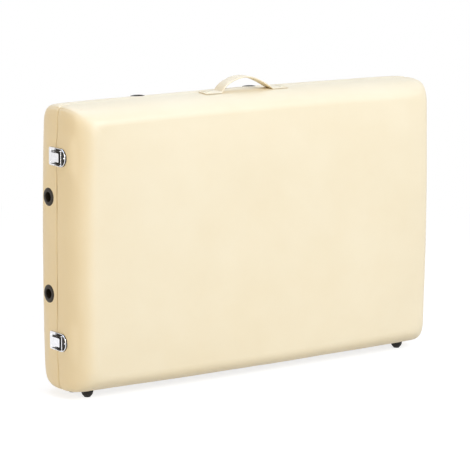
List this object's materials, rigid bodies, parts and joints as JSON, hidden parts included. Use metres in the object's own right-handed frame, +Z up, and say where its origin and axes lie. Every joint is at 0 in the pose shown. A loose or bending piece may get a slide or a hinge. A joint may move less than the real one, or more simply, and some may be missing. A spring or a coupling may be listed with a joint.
{
  "type": "portable massage table",
  "caption": "Two-section massage table folded shut like a padded suitcase, with nested wooden leg frames, folding braces, hinges, draw latches and a carry handle.",
  "frame": {"origin": "on the floor, under the middle of the folded case, in the plane of the seam", "axes": "+X along the case from the latches to the hinges, +Y through its thickness towards the rear half, +Z up"},
  "size_m": [0.943, 0.18, 0.631],
  "materials": {
    "cream_vinyl": "soft sheen, fine grain",
    "strap_vinyl": "stitched",
    "plywood": "raw birch ply",
    "beech": "clear satin lacquer",
    "black_rubber": "moulded",
    "black_plastic": "moulded",
    "chrome": "bright",
    "steel": "zinc plated"
  },
  "bodies": {
    "front_half": {"front_cushion": "cream_vinyl", "front_cover_band": "cream_vinyl", "front_deck": "plywood", "front_side_rails": "beech", "front_latch_rail": "beech", "front_hinge_rail": "beech", "front_corner_blocks": "beech", "front_cross_member": "beech", "front_case_feet": "black_rubber", "front_hinge_leaves": "steel", "hinge_pins": "steel", "front_hinge_screws": "steel", "front_leg_pivots": "steel", "handle_strap": "strap_vinyl", "handle_plates": "steel", "latch_bases": "chrome"},
    "rear_half": {"rear_cushion": "cream_vinyl", "rear_cover_band": "cream_vinyl", "rear_deck": "plywood", "rear_side_rails": "beech", "rear_latch_rail": "beech", "rear_hinge_rail": "beech", "rear_corner_blocks": "beech", "rear_cross_member": "beech", "rear_case_feet": "black_rubber", "rear_hinge_leaves": "steel", "rear_hinge_screws": "steel", "rear_leg_pivots": "steel", "rear_pivot_blocks": "beech", "headrest_bushings": "black_plastic", "armrest_bushings": "black_plastic", "latch_catches": "chrome"},
    "front_leg_frame": {"front_upper_legs": "beech", "front_crossbar": "beech", "front_leg_bolts": "steel", "front_brace_leg_pins": "steel"},
    "front_lower_leg_low": {"front_lower_leg_low": "beech", "front_foot_cap_low": "black_rubber"},
    "front_knob_low": {"front_knob_low": "black_plastic"},
    "front_lower_leg_top": {"front_lower_leg_top": "beech", "front_foot_cap_top": "black_rubber"},
    "front_knob_top": {"front_knob_top": "black_plastic"},
    "front_brace_deck_links": {"front_brace_deck_links": "steel"},
    "front_brace_leg_links": {"front_brace_leg_links": "steel"},
    "rear_leg_frame": {"rear_upper_legs": "beech", "rear_crossbar": "beech", "rear_leg_bolts": "steel", "rear_brace_leg_pins": "steel"},
    "rear_lower_leg_low": {"rear_lower_leg_low": "beech", "rear_foot_cap_low": "black_rubber"},
    "rear_knob_low": {"rear_knob_low": "black_plastic"},
    "rear_lower_leg_top": {"rear_lower_leg_top": "beech", "rear_foot_cap_top": "black_rubber"},
    "rear_knob_top": {"rear_knob_top": "black_plastic"},
    "rear_brace_deck_links": {"rear_brace_deck_links": "steel"},
    "rear_brace_leg_links": {"rear_brace_leg_links": "steel"},
    "latch_lever_low": {"latch_lever_low": "chrome"},
    "latch_hook_low": {"latch_hook_low": "chrome"},
    "latch_lever_top": {"latch_lever_top": "chrome"},
    "latch_hook_top": {"latch_hook_top": "chrome"}
  },
  "joints": [
    {"name": "case_fold", "type": "hinge", "parent": "front_half", "child": "rear_half", "pos_m": [0.4655, 0, 0.305], "axis": [0, 0, -1], "range_deg": [0, 180]},
    {"name": "front_leg_fold", "type": "hinge", "parent": "front_half", "child": "front_leg_frame", "pos_m": [-0.382, -0.023, 0.305], "axis": [0, 0, 1], "range_deg": [0, 90]},
    {"name": "front_brace_deck_turn", "type": "hinge", "parent": "front_half", "child": "front_brace_deck_links", "pos_m": [-0.142, -0.023, 0.305], "axis": [0, 0, -1], "range_deg": [0, 48.37]},
    {"name": "front_brace_leg_turn", "type": "hinge", "parent": "front_leg_frame", "child": "front_brace_leg_links", "pos_m": [-0.112, -0.023, 0.305], "axis": [0, 0, 1], "range_deg": [0, 41.63]},
    {"name": "front_leg_extend_low", "type": "slide", "parent": "front_leg_frame", "child": "front_lower_leg_low", "axis": [1, 0, 0], "range_m": [0, 0.21]},
    {"name": "front_knob_turn_low", "type": "hinge", "parent": "front_leg_frame", "child": "front_knob_low", "pos_m": [0.018, -0.023, 0.305], "axis": [0, 0, 1], "continuous": true},
    {"name": "front_leg_extend_top", "type": "slide", "parent": "front_leg_frame", "child": "front_lower_leg_top", "axis": [1, 0, 0], "range_m": [0, 0.21]},
    {"name": "front_knob_turn_top", "type": "hinge", "parent": "front_leg_frame", "child": "front_knob_top", "pos_m": [0.018, -0.023, 0.305], "axis": [0, 0, 1], "continuous": true},
    {"name": "rear_leg_fold", "type": "hinge", "parent": "rear_half", "child": "rear_leg_frame", "pos_m": [-0.382, 0.023, 0.305], "axis": [0, 0, -1], "range_deg": [0, 90]},
    {"name": "rear_brace_deck_turn", "type": "hinge", "parent": "rear_half", "child": "rear_brace_deck_links", "pos_m": [-0.142, 0.023, 0.305], "axis": [0, 0, 1], "range_deg": [0, 48.37]},
    {"name": "rear_brace_leg_turn", "type": "hinge", "parent": "rear_leg_frame", "child": "rear_brace_leg_links", "pos_m": [-0.112, 0.023, 0.305], "axis": [0, 0, -1], "range_deg": [0, 41.63]},
    {"name": "rear_leg_extend_low", "type": "slide", "parent": "rear_leg_frame", "child": "rear_lower_leg_low", "axis": [1, 0, 0], "range_m": [0, 0.21]},
    {"name": "rear_knob_turn_low", "type": "hinge", "parent": "rear_leg_frame", "child": "rear_knob_low", "pos_m": [0.018, 0.023, 0.305], "axis": [0, 0, 1], "continuous": true},
    {"name": "rear_leg_extend_top", "type": "slide", "parent": "rear_leg_frame", "child": "rear_lower_leg_top", "axis": [1, 0, 0], "range_m": [0, 0.21]},
    {"name": "rear_knob_turn_top", "type": "hinge", "parent": "rear_leg_frame", "child": "rear_knob_top", "pos_m": [0.018, 0.023, 0.305], "axis": [0, 0, 1], "continuous": true},
    {"name": "latch_lever_turn_low", "type": "hinge", "parent": "front_half", "child": "latch_lever_low", "pos_m": [-0.4702, -0.024, 0.117], "axis": [0, 0, 1], "range_deg": [0, 110]},
    {"name": "latch_hook_turn_low", "type": "hinge", "parent": "latch_lever_low", "child": "latch_hook_low", "pos_m": [-0.4702, -0.015, 0.117], "axis": [0, 0, -1], "range_deg": [0, 88.1]},
    {"name": "latch_lever_turn_top", "type": "hinge", "parent": "front_half", "child": "latch_lever_top", "pos_m": [-0.4702, -0.024, 0.493], "axis": [0, 0, 1], "range_deg": [0, 110]},
    {"name": "latch_hook_turn_top", "type": "hinge", "parent": "latch_lever_top", "child": "latch_hook_top", "pos_m": [-0.4702, -0.015, 0.493], "axis": [0, 0, -1], "range_deg": [0, 88.1]}
  ],
  "couplings": [
    {"joint": "front_leg_fold", "follows": "case_fold", "ratio": 0.5},
    {"joint": "front_brace_deck_turn", "follows": "case_fold", "ratio": 0.2687},
    {"joint": "front_brace_leg_turn", "follows": "case_fold", "ratio": 0.2313},
    {"joint": "rear_leg_fold", "follows": "case_fold", "ratio": 0.5},
    {"joint": "rear_brace_deck_turn", "follows": "case_fold", "ratio": 0.2687},
    {"joint": "rear_brace_leg_turn", "follows": "case_fold", "ratio": 0.2313},
    {"joint": "latch_hook_turn_low", "follows": "latch_lever_turn_low", "ratio": 0.8},
    {"joint": "latch_hook_turn_top", "follows": "latch_lever_turn_top", "ratio": 0.8}
  ]
}
